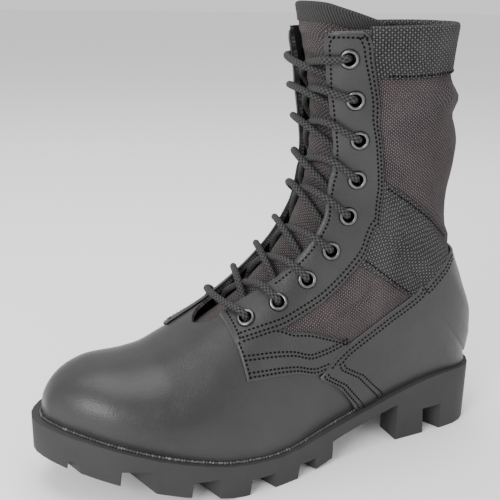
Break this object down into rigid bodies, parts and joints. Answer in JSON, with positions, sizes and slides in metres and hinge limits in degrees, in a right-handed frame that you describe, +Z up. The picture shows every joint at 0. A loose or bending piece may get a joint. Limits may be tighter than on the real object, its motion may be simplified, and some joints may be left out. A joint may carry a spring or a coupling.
{
  "type": "jungle boot",
  "caption": "Left high-lace jungle boot: leather vamp, counter and eyestays, fabric shaft with webbing straps, deep lugged rubber sole; open collar and hollow inside.",
  "frame": {"origin": "on the floor, in the middle of the boot's footprint", "axes": "+X forward to the toe, +Y to the wearer's left, the outer side of this left boot, +Z up"},
  "size_m": [0.3104, 0.1122, 0.2888],
  "materials": {
    "rubber": "dull black rubber",
    "felt": "dull felt",
    "upper_leather_and_nylon": "satin black leather at the vamp, dull nylon cloth at the shaft",
    "nylon": "dull black nylon cloth",
    "leather": "satin black leather",
    "webbing": "coarse black webbing",
    "lace_cord": "braided black cord",
    "eyelet_metal": "blackened steel, worn bright at the rim"
  },
  "bodies": {
    "root": {"outsole": "rubber", "insole": "felt", "upper": "upper_leather_and_nylon", "tongue": "nylon", "eyestay_outer": "leather", "eyestay_inner": "leather", "band_outer": "leather", "band_inner": "leather", "backstay": "leather", "counter": "leather", "ankle_strap_outer": "webbing", "ankle_strap_inner": "webbing", "collar_band": "webbing", "lace": "lace_cord", "eyelet_outer_1": "eyelet_metal", "eyelet_outer_2": "eyelet_metal", "eyelet_outer_3": "eyelet_metal", "eyelet_outer_4": "eyelet_metal", "eyelet_outer_5": "eyelet_metal", "eyelet_outer_6": "eyelet_metal", "eyelet_outer_7": "eyelet_metal", "eyelet_outer_8": "eyelet_metal", "eyelet_outer_9": "eyelet_metal", "eyelet_inner_1": "eyelet_metal", "eyelet_inner_2": "eyelet_metal", "eyelet_inner_3": "eyelet_metal", "eyelet_inner_4": "eyelet_metal", "eyelet_inner_5": "eyelet_metal", "eyelet_inner_6": "eyelet_metal", "eyelet_inner_7": "eyelet_metal", "eyelet_inner_8": "eyelet_metal", "eyelet_inner_9": "eyelet_metal"}
  },
  "joints": []
}
